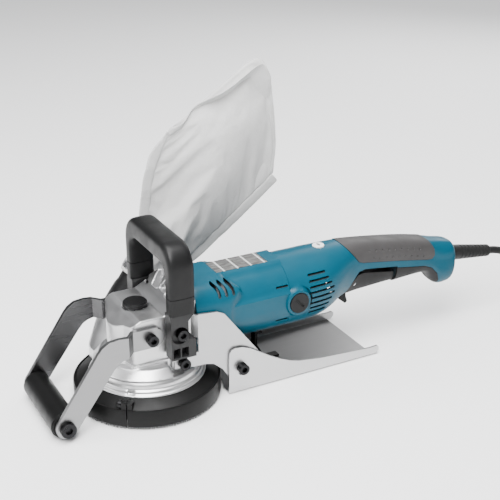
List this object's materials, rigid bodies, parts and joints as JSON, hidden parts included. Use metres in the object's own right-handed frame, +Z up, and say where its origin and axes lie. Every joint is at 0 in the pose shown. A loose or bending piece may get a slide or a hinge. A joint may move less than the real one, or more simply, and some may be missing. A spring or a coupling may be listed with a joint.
{
  "type": "cup-wheel concrete surface planer",
  "caption": "Hand-held concrete planer: angle-drive motor with a shrouded cup wheel, front D-handle, front roller, rear base plate, felt dust bag and coiled mains cord.",
  "frame": {"origin": "centre of the base plate's underside, on the work surface", "axes": "+X back along the motor to the rear handle, +Y to the dust bag's side, +Z up"},
  "size_m": [0.6547, 0.2198, 0.279],
  "materials": {
    "teal_housing": "satin moulded nylon",
    "black_plastic": "fine moulded texture",
    "dark_bracket": "dark grey powder coat",
    "grip_rubber": "soft over-moulded rubber",
    "skirt_rubber": "flexible black rubber",
    "bristle": "nylon bristles",
    "cast_aluminium": "die-cast, bright",
    "plate_aluminium": "matt silver plate",
    "steel": "machined steel",
    "black_bolt": "black oxide",
    "core_steel": "laminated electrical steel",
    "copper": "copper",
    "brass": "plain brass",
    "carbon": "pressed carbon",
    "wheel_steel": "blue-grey coated steel",
    "diamond": "sintered metal bond with grit",
    "bag_felt": "off-white filter felt",
    "label_foil": "printed foil, stripes only",
    "badge_white": "white insert",
    "cord_rubber": "rubber sheath",
    "pin_metal": "nickel plated"
  },
  "bodies": {
    "tool_body": {"gear_housing": "cast_aluminium", "bearing_box": "cast_aluminium", "head_screws": "black_bolt", "dust_cover": "cast_aluminium", "dust_skirt": "skirt_rubber", "skirt_brush": "bristle", "dust_nozzle": "black_plastic", "bag_clamp": "steel", "dust_bag": "bag_felt", "front_handle": "black_plastic", "handle_bracket_near": "dark_bracket", "handle_bracket_far": "dark_bracket", "side_plate_near": "plate_aluminium", "side_plate_far": "plate_aluminium", "frame_bolts": "black_bolt", "motor_housing": "teal_housing", "rear_shell_near": "teal_housing", "rear_shell_far": "teal_housing", "upper_grip": "grip_rubber", "lower_grip": "grip_rubber", "rear_shell_screws": "steel", "rating_label": "label_foil", "badge": "badge_white", "switch_block": "black_plastic", "cord_guard": "cord_rubber", "brush_holders": "brass", "carbon_brushes": "carbon", "brush_caps": "black_plastic", "field_core": "core_steel", "field_coils": "copper", "armature_bearings": "steel", "spindle_bearings": "steel", "trigger_pin": "steel", "shaft_lock_spring": "steel", "power_cord": "cord_rubber", "cord_coil": "cord_rubber", "cord_tail": "cord_rubber", "plug_body": "black_plastic", "plug_pins": "pin_metal"},
    "spindle_unit": {"spindle": "steel", "bevel_gear": "steel", "inner_flange": "steel", "cup_wheel": "wheel_steel", "diamond_segments": "diamond", "lock_nut": "steel"},
    "armature": {"armature_shaft": "steel", "bevel_pinion": "steel", "armature_core": "core_steel", "armature_windings": "copper", "commutator": "copper", "cooling_fan": "black_plastic"},
    "lock_button": {"shaft_lock_button": "black_plastic"},
    "roller_frame": {"roller_arm_near": "plate_aluminium", "roller_arm_far": "plate_aluminium", "roller_axle": "black_bolt"},
    "roller": {"front_roller": "black_plastic"},
    "base": {"base_plate": "plate_aluminium", "base_stay": "black_bolt"},
    "trigger_lever": {"trigger": "grip_rubber"},
    "lock_lever": {"lock_lever": "grip_rubber"}
  },
  "joints": [
    {"name": "spindle_spin", "type": "hinge", "parent": "tool_body", "child": "spindle_unit", "pos_m": [-0.145, 0, 0.03], "axis": [0, 0, 1], "continuous": true},
    {"name": "armature_spin", "type": "hinge", "parent": "tool_body", "child": "armature", "pos_m": [-0.145, 0, 0.0744], "axis": [1, 0, 0], "continuous": true},
    {"name": "shaft_lock_push", "type": "slide", "parent": "tool_body", "child": "lock_button", "axis": [0, 0, -1], "range_m": [0, 0.0035], "stiffness_N_per_m": 600, "springref_m": -0.003, "deforming": ["shaft_lock_spring"]},
    {"name": "roller_frame_tilt", "type": "hinge", "parent": "tool_body", "child": "roller_frame", "pos_m": [-0.1554, 0, 0.0746], "axis": [0, 1, 0], "range_deg": [0, 3]},
    {"name": "roller_spin", "type": "hinge", "parent": "roller_frame", "child": "roller", "pos_m": [-0.2385, 0, 0.0125], "axis": [0, 1, 0], "continuous": true},
    {"name": "base_slide", "type": "slide", "parent": "tool_body", "child": "base", "axis": [0, 0, 1], "range_m": [0, 0.004]},
    {"name": "trigger_pull", "type": "hinge", "parent": "tool_body", "child": "trigger_lever", "pos_m": [0.0698, 0, 0.068], "axis": [0, -1, 0], "range_deg": [0, 5], "stiffness_Nm_per_rad": 1.5, "springref_deg": -11.46},
    {"name": "lock_lever_push", "type": "hinge", "parent": "trigger_lever", "child": "lock_lever", "pos_m": [0.063, 0, 0.0575], "axis": [0, -1, 0], "range_deg": [0, 12], "stiffness_Nm_per_rad": 0.05, "springref_deg": -22.92}
  ],
  "couplings": [
    {"joint": "armature_spin", "follows": "spindle_spin", "ratio": 3}
  ]
}
